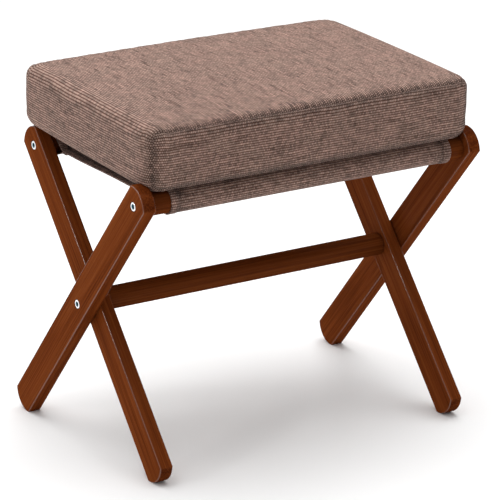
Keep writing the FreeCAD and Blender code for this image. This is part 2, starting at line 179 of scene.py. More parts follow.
class Tree:
    """A shader or geometry node tree, with one way to add a node."""

    def __init__(self, tree, prefix):
        self.tree, self.prefix = tree, prefix

    def give(self, socket, value):
        """Links a wire to a socket, or sets a plain value on it."""
        if isinstance(value, Wire):
            self.tree.links.new(value.socket, socket)
        elif value is not None:
            socket.default_value = value

    def node(self, kind, settings=None, *places, **names):
        """Sockets are given by position or by name. A kind without the word Node is one of this tree's."""
        made = self.tree.nodes.new(kind if "Node" in kind else self.prefix + kind)
        for setting, value in (settings or {}).items():
            setattr(made, setting, value)
        for key, value in list(enumerate(places)) + list(names.items()):
            self.give(made.inputs[key if isinstance(key, int) else key.replace("_", " ")], value)
        return Wire(self, next(socket for socket in made.outputs if socket.enabled))

    def math(self, operation, *values):
        return self.node("ShaderNodeMath", {"operation": operation}, *values)

    def between(self, value, low, high):
        """Goes from 0 to 1 as the value goes from low to high."""
        return self.node("MapRange", None, value, low, high, 0.0, 1.0)

    def mix(self, factor, first, second):
        """Mixes two colours."""
        made = self.tree.nodes.new("ShaderNodeMix")
        made.data_type = "RGBA"
        self.give(made.inputs[0], factor)
        for index, colour in ((6, first), (7, second)):
            self.give(made.inputs[index], colour if isinstance(colour, Wire) else (*colour, 1.0))
        return Wire(self, made.outputs[2])

    def ramp(self, value, *stops):
        """A colour ramp. Each stop is a position and a colour."""
        wire = self.node("ValToRGB", None, value)
        elements = wire.socket.node.color_ramp.elements
        while len(elements) < len(stops):
            elements.new(0.5)
        for element, (position, colour) in zip(elements, stops):
            element.position, element.color = position, (*colour, 1.0)
        return wire

    def scaled(self, colour, scale):
        return self.node("VectorMath", {"operation": "SCALE"}, colour, Scale=scale)


# %% Materials


def new_material(name):
    """A material with only a Principled shader. Returns it, its tree and the shader."""
    material = bpy.data.materials.new(name)
    material.use_nodes = True
    tree = Tree(material.node_tree, "ShaderNode")
    return material, tree, material.node_tree.nodes["Principled BSDF"]


def feed(tree, shader, **sockets):
    """Gives the shader's sockets their wires or plain numbers."""
    for name, value in sockets.items():
        tree.give(shader.inputs[name.replace("_", " ")], value)


# %% [markdown]
# The wood is a reddish-brown stain under clear lacquer. Its fine straight grain runs along each piece, so
# the pattern is turned to the piece's own length and stretched along it: broad soft streaks, fine dark
# lines inside them, and short pores. The lacquer is the shader's coat. It is thin on the faces and pools
# on the rounded edges, which is why only the edges shine, and the rounded edges are also painted lighter
# as a painted highlight. Two numbers stored on the mesh say where an edge and where an end is, and end
# grain soaks up more stain. A picture of wood would repeat and stretch. This pattern reads Object
# coordinates, the frame's own here, so it stays put when the pieces fold.

# %% Lacquered wood
STAIN_DARK = (0.062, 0.0115, 0.0024)
STAIN_MIDDLE = (0.142, 0.0320, 0.0066)
# The lightest stain colour, which also paints the highlight on the rounded edges.
LIGHT_STAIN_AND_EDGE_HIGHLIGHT = (0.210, 0.056, 0.0140)
FACE_COAT, EDGE_COAT = 0.01, 0.7
# The rails and the stretcher are painted darker than the legs, as painted shade for where they lie under the
# cushion.
BAR_PAINTED_SHADE = 0.7


def lacquered_wood(name, turn, shift, shade=1.0):
    """turn brings the piece's length to Z. shift picks another part of the same plank."""
    material, tree, shader = new_material(name)
    place = tree.node("TexCoord").out("Object")
    along = tree.node("Mapping", {"vector_type": "TEXTURE"}, place, Location=shift, Rotation=turn)
    edge, end_grain = (
        tree.node("Attribute", {"attribute_name": mark}).out("Fac") for mark in ("edge", "end_grain")
    )

    def grain(across, length, detail, distortion=0.0):
        stretched = tree.node("Mapping", None, along, Scale=(across, across, length))
        return tree.node("TexNoise", None, stretched, Scale=1.0, Detail=detail, Roughness=0.6,
                         Distortion=distortion)

    streaks = grain(42.0, 1.7, 3.0, 0.8)
    lines = grain(520.0, 6.0, 2.0)
    pores = grain(1500.0, 60.0, 1.0)
    tone = streaks * 0.5 + lines * 0.5 - end_grain * 0.10
    pore = tree.math("GREATER_THAN", pores, 0.66) * lines
    colour = tree.ramp(tone, (0.30, STAIN_DARK), (0.50, STAIN_MIDDLE), (0.70, LIGHT_STAIN_AND_EDGE_HIGHLIGHT))
    colour = tree.mix(pore * 0.5, colour, STAIN_DARK)
    # Painted highlight: the rounded edges are painted lighter.
    colour = tree.mix(edge * 0.30, colour, LIGHT_STAIN_AND_EDGE_HIGHLIGHT)
    height = lines * 0.5 - pore * 0.5
    bump = tree.node("Bump", None, Strength=0.10, Distance=0.0002, Height=height)
    feed(tree, shader, Base_Color=tree.scaled(colour, shade), Roughness=0.34 + streaks * 0.14, Normal=bump,
         Coat_Weight=edge * (EDGE_COAT - FACE_COAT) + FACE_COAT, Coat_Roughness=0.12, Coat_IOR=2.0,
         Specular_IOR_Level=0.0)
    return material


lean_of = {"outer": spread, "inner": -spread}
leg_wood = {
    (pair, side): lacquered_wood(
        "wood_%s_leg_%s" % (pair, side), (lean, 0.0, 0.0), (0.11 * number, 0.05 * place, 0.3 * number),
    )
    for number, (pair, lean) in enumerate(lean_of.items())
    for place, (side, _) in enumerate(SIDES)
}
# The bars take the same wood darkened by painted shade.
bar_wood = {
    bar: lacquered_wood("wood_" + bar, (0.0, math.pi / 2, 0.0), (0.2, 0.07 * number, 0.0), BAR_PAINTED_SHADE)
    for number, bar in enumerate(("front_rail", "back_rail", "stretcher"))
}
print("wood:", len(leg_wood) + len(bar_wood), "planks of one finish")

# %% [markdown]
# The cushion and the sling are one ribbed cloth; the sling's copy is made darker, as painted shade for
# where it lies under the cushion. Thick soft threads lie side by side as ribs, and thin ones cross them,
# which shows as rows of small dark dots between lighter knots: the low places between ribs and knots are
# given a darker colour as painted shade. Modelling every thread would take millions of faces, so the weave
# is a formula. It reads a UV map in metres, u along the ribs and v across them, and so follows the cloth
# round every edge. A number stored on the mesh, the distance to the nearest seam, paints shade on the
# cloth there and paints dark dots of shade between its knots.

# %% Ribbed cloth
RIB_PITCH, KNOT_PITCH = 3.1 * MM, 2.4 * MM
KNOT_WARM, KNOT_GREY = (0.368, 0.240, 0.196), (0.345, 0.234, 0.190)
# The low places between ribs and knots take this darker colour as painted shade.
GROOVE_PAINTED_SHADE = (0.088, 0.032, 0.018)
# Near the seams the cloth is painted darker, with dark dots of painted shade between its knots.
SEAM_SHADOW, SEAM_DOT_SHADE = 4.5 * MM, 9.0 * MM


def ribbed_cloth(name, shade):
    material, tree, shader = new_material(name)
    weave = tree.node("SeparateXYZ", None, tree.node("UVMap", {"uv_map": "weave"}))
    along, across = weave.out("X"), weave.out("Y")
    place = tree.node("TexCoord").out("Object")
    seam = tree.node("Attribute", {"attribute_name": "seam_distance"}).out("Fac")
    shadow, seam_dot_shade = (
        tree.math("POWER", math.e, seam * seam * (-1.0 / reach ** 2)) for reach in (SEAM_SHADOW, SEAM_DOT_SHADE)
    )

    def hump(position):
        """Rises and falls once in each whole step of the position."""
        return tree.math("SINE", tree.math("FRACT", position) * math.pi)

    # Where a point lies: which rib, how far across it, and which knot along it
    wander = tree.node("TexNoise", None, place, Scale=16.0, Detail=1.0) - 0.5
    rib_place = across * (1.0 / RIB_PITCH) + wander
    rib_number = tree.math("FLOOR", rib_place)
    knot_place = along * (1.0 / KNOT_PITCH) + tree.math("FRACT", rib_number * 0.5)
    knot_number = tree.math("FLOOR", knot_place)
    rib, knot = hump(rib_place), hump(knot_place)

    # Each knot has its own shade, ribs run darker and lighter, and the dye comes out in patches
    cell = tree.node("CombineXYZ", None, rib_number, knot_number, 0.0)
    own = tree.node("TexWhiteNoise", {"noise_dimensions": "2D"}, cell)
    strand = tree.node("CombineXYZ", None, along * 30.0, rib_number * 2.3, 0.0)
    streak = tree.node("TexNoise", None, strand, Scale=1.0, Detail=1.0)
    patch = tree.between(tree.node("TexNoise", None, place, Scale=45.0, Detail=3.0), 0.40, 0.60)

    high = rib * (0.45 + knot * 0.55) * (0.76 + tree.between(streak, 0.28, 0.40) * 0.24)
    # The lower a point lies in the weave, the more painted shade it gets.
    depth = tree.between(high, 0.18, 0.74)
    warm, grey, groove = ([shade * part for part in tint] for tint in (KNOT_WARM, KNOT_GREY, GROOVE_PAINTED_SHADE))
    colour = tree.mix(depth, groove, tree.mix(patch, warm, grey))
    # Painted shade along the seams, and dark dots of painted shade between the knots beside them.
    light = (0.11 + own * 0.68 + streak * 1.15) * (1.0 - shadow * 0.35)
    light = light * (1.0 - seam_dot_shade * (1.0 - knot) * 0.75)
    bump = tree.node("Bump", None, Strength=0.9, Distance=0.0008, Height=high + own * 0.35)
    feed(tree, shader, Base_Color=tree.scaled(colour, light), Roughness=0.94 - depth * 0.08, Normal=bump,
         Specular_IOR_Level=0.2, Sheen_Weight=0.05, Sheen_Roughness=0.5)
    return material


cushion_cloth = ribbed_cloth("cushion_cloth", 0.90)
# The sling's cloth is painted darker than the cushion's, as painted shade for where it lies under the
# cushion.
sling_cloth = ribbed_cloth("sling_cloth", 0.84)
print("cloth: ribs %.1f mm and knots %.1f mm apart" % (RIB_PITCH / MM, KNOT_PITCH / MM))

# %% [markdown]
# Small parts: bright plated steel for the bolts, with a dark blue-green colour in the key sockets as
# painted shade with a blue tint of painted reflection, brass for the hidden inserts, dark nylon for the
# bushes and washers, cream foam for the cushion's core, and the sewing thread. One flat value would do for
# parts so small, but no real surface has one, so each finish drifts a little in colour and roughness.

# %% Small finishes


def speckled(name, first, second, scale, rough, rough_drift, metal=0.0):
    material, tree, shader = new_material(name)
    place = tree.node("TexCoord").out("Object")
    drift = tree.node("TexNoise", None, place, Scale=scale, Detail=4.0)
    bump = tree.node("Bump", None, Strength=0.15, Distance=0.0001, Height=drift)
    feed(tree, shader, Base_Color=tree.mix(drift, first, second), Normal=bump, Metallic=metal,
         Roughness=rough + drift * rough_drift)
    return material


bright_steel = speckled("bright_steel", (0.82, 0.84, 0.86), (0.93, 0.94, 0.95), 900.0, 0.10, 0.16, 1.0)
# The key sockets' dark blue-green is painted shade, with a blue tint of painted reflection.
socket_painted_shade = speckled("socket_painted_shade", (0.03, 0.10, 0.13), (0.06, 0.16, 0.20), 700.0, 0.25, 0.20, 0.6)
insert_brass = speckled("insert_brass", (0.62, 0.43, 0.16), (0.78, 0.58, 0.26), 500.0, 0.22, 0.25, 1.0)
dark_nylon = speckled("dark_nylon", (0.020, 0.014, 0.012), (0.040, 0.030, 0.026), 300.0, 0.45, 0.20)
core_foam = speckled("core_foam", (0.72, 0.66, 0.50), (0.86, 0.81, 0.66), 900.0, 0.90, 0.08)
sewing_thread = speckled("sewing_thread", (0.17, 0.105, 0.085), (0.27, 0.175, 0.145), 1500.0, 0.70, 0.20)
print("finishes:", len(bpy.data.materials))

# %% [markdown]
# Every finished piece sits at the origin with its place in its mesh, as the imported pieces do. These
# helpers turn a list of corners and faces into such a piece, read and write its points, set what it
# rides on and hide the imported pieces that it replaces.

# %% Piece helpers


def piece_from(name, corners, faces, material):
    mesh = bpy.data.meshes.new(name)
    mesh.from_pydata([tuple(corner) for corner in corners], [], faces)
    mesh.materials.append(material)
    piece = bpy.data.objects.new(name, mesh)
    scene.collection.objects.link(piece)
    return piece


def smooth(piece):
    piece.data.polygons.foreach_set("use_smooth", [True] * len(piece.data.polygons))
    piece.data.update()


def finish_piece(piece, body, slot, *nodes):
    """The last step for a rigid piece."""
    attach(piece, body)
    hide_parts(*nodes)
    print("%-24s %6d faces, rides on %s" % (piece.name, len(piece.data.polygons), body))


def bake_modifiers(piece):
    """Turns what the modifiers make into the piece's own mesh, and removes them."""
    depsgraph = bpy.context.evaluated_depsgraph_get()
    mesh = bpy.data.meshes.new_from_object(piece.evaluated_get(depsgraph))
    piece.modifiers.clear()
    old, piece.data = piece.data, mesh
    bpy.data.meshes.remove(old)
    mesh.name = piece.name


def read_points(mesh, what="co"):
    """The vertices' places, or their normals, one in each row."""
    values = np.zeros(len(mesh.vertices) * 3, dtype=np.float32)
    mesh.vertices.foreach_get(what, values)
    return values.reshape(-1, 3)


def write_points(mesh, places):
    mesh.vertices.foreach_set("co", places.ravel())
    mesh.update()


def add_weave(mesh, coordinates, seam):
    """Stores each face corner's place in the cloth, and each vertex's distance to the nearest seam."""
    weave = mesh.uv_layers.new(name="weave")
    weave.data.foreach_set("uv", np.array(coordinates, dtype=np.float32).ravel())
    distance = mesh.attributes.new("seam_distance", "FLOAT", "POINT")
    distance.data.foreach_set("value", seam.astype(np.float32))


# %% [markdown]
# A leg is a flat stave whose two ends are arcs. Its edges are softly rounded, which is where the lacquer
# catches the light. A bevel modifier could round a block, but the sunk bolt seats and the rail sockets
# would confuse it. So the leg is built from rings: the outline is drawn at several depths through the
# thickness, a little smaller near each face, and neighbouring rings are joined. Each bore is a stack of
# rings too.

# %% Leg outline and bores
ARC_STEPS, BORE_STEPS, ROUND_STEPS = 14, 32, 4
SEAT_RADIUS, SEAT_DEPTH, SEAT_ROUND = 6.5 * MM, 3.5 * MM, 0.4 * MM
SOCKET_RADIUS, SOCKET_DEPTH = 10.05 * MM, 5.2 * MM
BOLT_BORE, BUSH_BORE = 3.2 * MM, 5.5 * MM


def leg_outline(inset):
    """The leg's outline, across and along, drawn in by an inset."""
    half, radius = leg_width / 2 - inset, leg_end_radius - inset
    lean = math.asin(half / radius)
    points = []
    for end in (1, -1):
        for step in range(ARC_STEPS + 1):
            turn = lean - 2 * lean * step / ARC_STEPS
            points.append((end * radius * math.sin(turn), end * (leg_end_centre + radius * math.cos(turn))))
    return points


def circle(radius, along):
    turns = [2 * math.pi * step / BORE_STEPS for step in range(BORE_STEPS)]
    return [(radius * math.cos(turn), along + radius * math.sin(turn)) for turn in turns]


def rounded_edge(radius):
    """How far in and how deep each ring of a rounded edge lies, from the face to the side."""
    turns = [math.pi / 2 * step / ROUND_STEPS for step in range(ROUND_STEPS + 1)]
    return [(radius * (1 - math.sin(turn)), radius * (1 - math.cos(turn))) for turn in turns]


def leg_bores(carries_bush):
    """Each bore as its place along the leg and the radius at each depth, from the outside face."""
    socket_floor = leg_thickness - SOCKET_DEPTH
    seat = [(SEAT_RADIUS + inset, depth) for inset, depth in rounded_edge(SEAT_ROUND)]
    seat.append((SEAT_RADIUS, SEAT_DEPTH))
    socket = [
        (BOLT_BORE, socket_floor), (SOCKET_RADIUS, socket_floor), (SOCKET_RADIUS, leg_thickness),
    ]
    if carries_bush:
        crossing = seat + [(BUSH_BORE, SEAT_DEPTH), (BUSH_BORE, leg_thickness)]
    else:
        crossing = [(BOLT_BORE, 0.0)] + socket
    return ((rail_reach, seat + [(BOLT_BORE, SEAT_DEPTH)] + socket), (0.0, crossing))


# %% Leg from rings


def leg_shape(carries_bush):
    """An upright leg round the crossing, with X as the depth from its outside face."""
    shape = bmesh.new()
    edge_mark, end_mark = shape.verts.layers.float.new("edge"), shape.verts.layers.float.new("end_grain")

    def ring(points, depth, edge_share=0.0, end_share=0.0):
        made = [shape.verts.new((depth, across, along)) for across, along in points]
        for index, vertex in enumerate(made):
            vertex[edge_mark] = edge_share
            vertex[end_mark] = end_share if index % (ARC_STEPS + 1) not in (0, ARC_STEPS) else 0.0
        return made

    def join(rings):
        for first, second in zip(rings, rings[1:]):
            for index in range(len(first)):
                after = (index + 1) % len(first)
                shape.faces.new((first[index], first[after], second[after], second[index]))
        return rings[0], rings[-1]

    shares = [math.sin(math.pi * step / ROUND_STEPS) for step in range(ROUND_STEPS + 1)]
    stack = [(inset, depth, share) for (inset, depth), share in zip(rounded_edge(leg_edge_round), shares)]
    stack += [(inset, leg_thickness - depth, share) for inset, depth, share in reversed(stack)]
    rims = [join([
        ring(leg_outline(inset), depth, share, 1.0 - inset / leg_edge_round)
        for inset, depth, share in stack
    ])]
    for along, stations in leg_bores(carries_bush):
        rims.append(join([ring(circle(radius, along), depth) for radius, depth in stations]))
    for face_rims in zip(*rims):
        edges = [
            shape.edges.get((rim[index], rim[(index + 1) % len(rim)]))
            for rim in face_rims for index in range(len(rim))
        ]
        bmesh.ops.triangle_fill(shape, edges=edges, use_beauty=True)
    return shape


# %% Leg in its place
MERGE_REACH = 0.01 * MM
SHARP_ANGLE = math.radians(40)


def stand_leg(shape, outside, side, lean):
    """Mirrors a right-hand leg, leans it round the crossing and cuts its foot flat on the floor."""
    for vertex in shape.verts:
        vertex.co.x = outside - side * vertex.co.x
    turn = Matrix.Rotation(lean, 4, "X")
    shape.transform(Matrix.Translation((0.0, 0.0, pivot_height)) @ turn)
    cut = bmesh.ops.bisect_plane(
        shape, geom=shape.verts[:] + shape.edges[:] + shape.faces[:],
        plane_co=(0.0, 0.0, 0.0), plane_no=(0.0, 0.0, -1.0), clear_outer=True,
    )
    floor_edges = [part for part in cut["geom_cut"] if isinstance(part, bmesh.types.BMEdge)]
    bmesh.ops.triangle_fill(shape, edges=floor_edges, use_beauty=True)
    bmesh.ops.remove_doubles(shape, verts=shape.verts[:], dist=MERGE_REACH)
    bmesh.ops.recalc_face_normals(shape, faces=shape.faces[:])


# %% Legs


def make_leg(pair, side_name, side):
    shape = leg_shape(pair == "outer")
    outside = side * (outer_high if pair == "outer" else inner_high).x
    stand_leg(shape, outside, side, lean_of[pair])
    for edge in shape.edges:
        if len(edge.link_faces) == 2:
            edge.smooth = edge.calc_face_angle() < SHARP_ANGLE
    name = "%s_leg_%s" % (pair, side_name)
    leg = piece_from("wooden_" + name, [], [], leg_wood[pair, side_name])
    shape.to_mesh(leg.data)
    shape.free()
    smooth(leg)
    leg.modifiers.new("even shading", "WEIGHTED_NORMAL").keep_sharp = True
    bake_modifiers(leg)
    finish_piece(leg, pair + "_frame", "lacquered_wood", name)


for pair in lean_of:
    for side_name, side in SIDES:
        make_leg(pair, side_name, side)

# %% [markdown]
# The rails, the stretcher and the bolts are turned: each is a line of stations with a radius at each. That
# is a rule, so Geometry Nodes makes them. A tree draws a line of points, moves each to its station, gives
# it the radius there and sweeps a circle along the line. What differs from piece to piece is an input of
# the tree.

# %% Geometry tree helpers


def geometry_tree(name, inputs):
    """A new geometry tree. Returns its helper, a wire for each input and the inputs' identifiers."""
    group = bpy.data.node_groups.new(name, "GeometryNodeTree")
    group.interface.new_socket("Geometry", in_out="OUTPUT", socket_type="NodeSocketGeometry")
    for label, kind in {"Geometry": "Geometry", **inputs}.items():
        group.interface.new_socket(label, in_out="INPUT", socket_type="NodeSocket" + kind)
    tree = Tree(group, "GeometryNode")
    entry = group.nodes.new("NodeGroupInput")
    wires = {socket.name: Wire(tree, socket) for socket in entry.outputs if socket.name}
    items = [item for item in group.interface.items_tree if item.in_out == "INPUT"]
    return tree, wires, {item.name: item.identifier for item in items}


def finish_tree(tree, geometry, material=None):
    """Realizes the instances, sets a material if one is given, and links the tree's output."""
    result = tree.node("RealizeInstances", None, geometry)
    if material:
        result = tree.node("SetMaterial", None, result, Material=material)
    end = tree.tree.nodes.new("NodeGroupOutput")
    tree.tree.links.new(result.socket, end.inputs[0])


def grow(piece, tree, identifiers, **values):
    """Runs a tree on a piece and keeps the result as its plain mesh."""
    modifier = piece.modifiers.new("growth", "NODES")
    modifier.node_group = tree.tree
    for label, value in values.items():
        modifier[identifiers[label.replace("_", " ")]] = value
    bake_modifiers(piece)


# %% Turned solids
SHOULDER_STEP = 0.02 * MM


def by_station(tree, values):
    """A number that follows a point's index: the first value on the first point, and so on."""
    switch = tree.tree.nodes.new("GeometryNodeIndexSwitch")
    switch.data_type = "FLOAT"
    while len(switch.index_switch_items) < len(values):
        switch.index_switch_items.new()
    for socket, value in zip(switch.inputs, (tree.node("InputIndex"), *values)):
        tree.give(socket, value)
    return Wire(tree, switch.outputs[0])


def turned(tree, stations, sides):
    """A solid turned about X. Each station is a place on X and the radius there."""
    places, radii = zip(*stations)
    line = tree.node("MeshLine", {"mode": "OFFSET"}, Count=len(stations), Offset=(0.001, 0.0, 0.0))
    spot = tree.node("ShaderNodeCombineXYZ", None, by_station(tree, places), 0.0, 0.0)
    path = tree.node("MeshToCurve", None, tree.node("SetPosition", None, line, Position=spot))
    section = tree.node("CurvePrimitiveCircle", None, Resolution=sides, Radius=1.0)
    return tree.node("CurveToMesh", None, path, section, Scale=by_station(tree, radii), Fill_Caps=True)


# %% Turned bars
BAR_SIDES, BAR_EDGE = 72, 0.8 * MM
TENON_RADIUS, TENON_LENGTH = 10 * MM, 5 * MM


def bar_tree():
    """A round bar with a softened edge and a thinner tenon at each end."""
    tree, wires, identifiers = geometry_tree("turned_bar", {
        "Half Span": "Float", "Radius": "Float", "Wood": "Material",
    })
    half, radius = wires["Half Span"], wires["Radius"]
    right_half = [
        (half + TENON_LENGTH, TENON_RADIUS), (half + SHOULDER_STEP, TENON_RADIUS), (half, radius - BAR_EDGE),
        (half - BAR_EDGE * 0.3, radius - BAR_EDGE * 0.3), (half - BAR_EDGE, radius),
    ]
    left_half = [(0.0 - place, reach) for place, reach in right_half]
    bar = turned(tree, left_half + right_half[::-1], BAR_SIDES)
    finish_tree(tree, tree.node("SetShadeSmooth", None, bar), wires["Wood"])
    return tree, identifiers


bar_growth, bar_inputs = bar_tree()
for bar, body in (("front_rail", "outer_frame"), ("back_rail", "inner_frame"), ("stretcher", "inner_frame")):
    bar_piece = piece_from("turned_" + bar, [(0, 0, 0)], [], bar_wood[bar])
    grow(bar_piece, bar_growth, bar_inputs, Half_Span=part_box(bar)[1].x - TENON_LENGTH,
         Radius=radius_of(bar), Wood=bar_wood[bar])
    bar_piece.data.transform(Matrix.Translation(middle_of(bar)))
    finish_piece(bar_piece, body, "lacquered_wood", bar)

# %% [markdown]
# Six bolts hold the frame, each with a round bevelled head and a six-sided key socket whose mouth is
# countersunk. They repeat, so one tree makes the bolt once and puts a copy on each point of a small mesh.
# The head and shank are turned like the bars, and a prism and a cone cut out of the head leave the socket.

# %% Bolt tree
HEAD_RADIUS, HEAD_HEIGHT, HEAD_RIM = 6 * MM, 3 * MM, 0.7 * MM
HEX_WIDTH, HEX_DEPTH, HEX_MOUTH = 5 * MM, 2.2 * MM, 0.7 * MM
SHANK_RADIUS = 3 * MM
HEAD_SIDES, MOUTH_SIDES, CUT_PROUD = 40, 36, 0.01 * MM


def bolt_tree():
    """A bolt on each point, along X, with its head on the side away from the stool's middle."""
    tree, wires, identifiers = geometry_tree("hex_bolt", {
        "Shoulder Radius": "Float", "Shoulder Length": "Float", "Length": "Float",
    })
    shoulder, reach = HEAD_HEIGHT + wires["Shoulder Length"], wires["Shoulder Radius"]
    stations = [
        (HEAD_RIM * 0.01, HEAD_RADIUS - HEAD_RIM), (HEAD_RIM * 0.35, HEAD_RADIUS - HEAD_RIM * 0.25),
        (HEAD_RIM, HEAD_RADIUS), (HEAD_HEIGHT, HEAD_RADIUS),
        (HEAD_HEIGHT + SHOULDER_STEP, reach), (shoulder, reach),
        (shoulder + SHOULDER_STEP, SHANK_RADIUS), (wires["Length"], SHANK_RADIUS),
    ]
    bolt = turned(tree, [(0.0 - place, radius) for place, radius in stations], HEAD_SIDES)
    key_radius = HEX_WIDTH / (2 * math.cos(math.pi / 6))
    mouth = key_radius + HEX_MOUTH
    prism = tree.node("MeshCylinder", None, Vertices=6, Radius=key_radius, Depth=HEX_DEPTH * 2)
    cone = tree.node("MeshCone", None, Vertices=MOUTH_SIDES, Radius_Top=key_radius * 0.9,
                     Radius_Bottom=mouth, Depth=HEX_MOUTH * 1.2)
    key = tree.node("Transform", None, prism, Rotation=(0.0, math.pi / 2, 0.0))
    funnel = tree.node("Transform", None, cone, Rotation=(0.0, math.pi / -2, 0.0),
                       Translation=(CUT_PROUD, 0.0, 0.0))
    for cutter in (key, funnel):
        bolt = tree.node("MeshBoolean", {"operation": "DIFFERENCE", "solver": "EXACT"}, bolt, cutter)
    bolt = tree.node("SetMaterial", None, bolt, Material=bright_steel)
    place = tree.node("ShaderNodeSeparateXYZ", None, tree.node("InputPosition"))
    x, y, z = (place.out(axis) for axis in "XYZ")
    inside = tree.math("LESS_THAN", tree.math("SQRT", y * y + z * z), mouth)
    sunk = tree.math("LESS_THAN", x, HEX_MOUTH * -0.1)
    # The socket and its countersunk mouth get the dark blue-green painted shade.
    bolt = tree.node("SetMaterial", None, bolt, Selection=inside * sunk, Material=socket_painted_shade)
    facing = tree.node("ShaderNodeCombineXYZ", None, 0.0, 0.0, tree.math("LESS_THAN", x, 0.0) * math.pi)
    placed = tree.node("InstanceOnPoints", None, wires["Geometry"], Instance=bolt, Rotation=facing)
    finish_tree(tree, placed)
    return tree, identifiers


# %% Bolts
PIVOT_SHOULDER_RADIUS, RAIL_SHOULDER = 4 * MM, 1 * MM
bolt_growth, bolt_inputs = bolt_tree()


def make_bolts(kind, body, shoulder_radius, shoulder_length):
    """The left and the right bolt of one kind as one piece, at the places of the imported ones."""
    nodes = ["%s_bolt_%s" % (kind, side) for side, _ in SIDES]
    heads = []
    for node in nodes:
        low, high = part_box(node)
        outward = high.x if high.x > 0 else low.x
        heads.append((outward, (low.y + high.y) / 2, (low.z + high.z) / 2))
    bolts = piece_from(kind + "_bolts", heads, [], bright_steel)
    grow(bolts, bolt_growth, bolt_inputs, Shoulder_Radius=shoulder_radius, Shoulder_Length=shoulder_length,
         Length=high.x - low.x)
    finish_piece(bolts, body, "bright_steel", *nodes)


pivot_shoulder = leg_thickness - SEAT_DEPTH + 0.1 * MM + (outer_low.x - inner_high.x)
make_bolts("front_rail", "outer_frame", SHANK_RADIUS, RAIL_SHOULDER)
make_bolts("back_rail", "inner_frame", SHANK_RADIUS, RAIL_SHOULDER)
make_bolts("pivot", "inner_frame", PIVOT_SHOULDER_RADIUS, pivot_shoulder)

# %% [markdown]
# The inserts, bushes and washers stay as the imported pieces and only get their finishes. They sit inside
# the joints, where a thin dark edge of washer is all that ever shows.

# %% Fittings that stay
kept = 0
for node, packed in frame["nodes"].items():
    for part, material in (("_insert_", insert_brass), ("_bush_", dark_nylon), ("_washer_", dark_nylon)):
        if part in node:
            packed.data.materials.clear()
            packed.data.materials.append(material)
            kept += 1
print("fittings that stay:", kept)

# %% [markdown]
# The sling is one piece of cloth. It goes over each rail, back underneath and is sewn to itself, so each
# rail lies in a sleeve, and it is pulled tight between them by the spread of the legs. Cloth simulation
# would only find again the shape that the pull gives, so the section is worked out instead, as a path of
# points with a distance along it. The path is repeated along the stool and given its thickness on both
# sides, and the side edges are turned over and stitched, which makes them a little thicker.

# %% Sling sizes
STEP, ROUND_STEP = 4 * MM, 2.4 * MM
sling_low, sling_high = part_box("sling")
cut_width, sling_middle = sling_high.x - sling_low.x, (sling_high.x + sling_low.x) / 2
cloth_thickness, sling_drop = 1.3 * MM, 5 * MM
sleeve_slack, tail_gap = 0.3 * MM, 0.1 * MM
sleeve_radius = rail_radius + sleeve_slack + cloth_thickness / 2
seam_reach, seam_tail = 32 * MM, 10 * MM
panel_height = rail_height - sling_drop + cloth_thickness / 2
tail_height = panel_height - cloth_thickness - tail_gap


def tangent_turn(centre, radius, outside, upper):
    """The angle at which a line from an outside point touches a circle."""
    reach = (outside[0] - centre[0], outside[1] - centre[1])
    swing = math.acos(radius / math.hypot(*reach))
    heading = math.atan2(reach[1], reach[0])
    return max((heading + swing, heading - swing), key=lambda turn: math.sin(turn) * (1 if upper else -1))


def line_points(first, last):
    """Evenly spaced points on a line, without its last one."""
    return np.linspace(first, last, max(2, int(math.dist(first, last) / STEP)), endpoint=False)


# %% Sling section


def sleeve_points(rail_y):
    """The section from the sewn tail, under the rail, round it and back to the panel's seam."""
    inward = 1 if rail_y < 0 else -1
    centre = (rail_y, rail_height)
    tail = (rail_y + inward * (seam_reach + seam_tail), tail_height)
    seam_low, seam_top = ((rail_y + inward * seam_reach, height) for height in (tail_height, panel_height))
    start = tangent_turn(centre, sleeve_radius, seam_low, False)
    finish = tangent_turn(centre, sleeve_radius, seam_top, True)
    sweep = inward * ((inward * (start - finish)) % (2 * math.pi))
    turns = np.linspace(start, start - sweep, int(abs(sweep) * sleeve_radius / ROUND_STEP) + 1)
    round_rail = centre + sleeve_radius * np.stack([np.cos(turns), np.sin(turns)], axis=1)
    return np.concatenate([
        line_points(tail, seam_low), line_points(seam_low, round_rail[0]), round_rail[:-1],
        line_points(round_rail[-1], seam_top),
    ])


panel_ends = [(front_axis.y + seam_reach, panel_height), (back_axis.y - seam_reach, panel_height)]
section = np.concatenate([
    sleeve_points(front_axis.y), line_points(*panel_ends), panel_ends[1:],
    sleeve_points(back_axis.y)[::-1],
])
steps_along = np.linalg.norm(np.diff(section, axis=0), axis=1)
section_lengths = np.concatenate([[0.0], np.cumsum(steps_along)])

# %% Sling grid
HEM_PLACES = np.array([0.0, 1.0, 3.0, 6.0, 9.0, 11.0, 12.0, 13.0, 15.0]) * MM
COLUMN_PITCH = 6 * MM


def sling_columns():
    """Places across the sling: close together in its turned edges and wider between them."""
    half, hem = cut_width / 2, HEM_PLACES[-1]
    count = int((cut_width - 2 * hem) / COLUMN_PITCH)
    between = np.linspace(hem - half, half - hem, count + 1)[1:-1]
    return np.concatenate([HEM_PLACES - half, between, half - HEM_PLACES[::-1]])


def sheet_faces(rows, columns):
    """The faces of two layers of the grid, and of the rim that joins them."""
    grid = np.arange(rows * columns).reshape(rows, columns)
    cells = np.stack([grid[:-1, :-1], grid[:-1, 1:], grid[1:, 1:], grid[1:, :-1]], axis=2).reshape(-1, 4)
    rim = np.concatenate([grid[0], grid[1:, -1], grid[-1, -2::-1], grid[-2:0:-1, 0]])
    after = np.roll(rim, -1)
    around = np.stack([rim, after, after + grid.size, rim + grid.size], axis=1)
    return np.concatenate([cells, cells + grid.size, around])


# %% Sling cloth
HEM_WIDTH, HEM_RISE, HEM_RAMP, HEM_STITCH_DIP = 12 * MM, 0.7 * MM, 1.5 * MM, 0.35 * MM
SAG, SAG_RAMP = 1.6 * MM, 50 * MM
RIPPLE, RIPPLE_ACROSS, RIPPLE_ALONG = 0.5 * MM, 95, 30
SKIN_GAP = 0.02 * MM


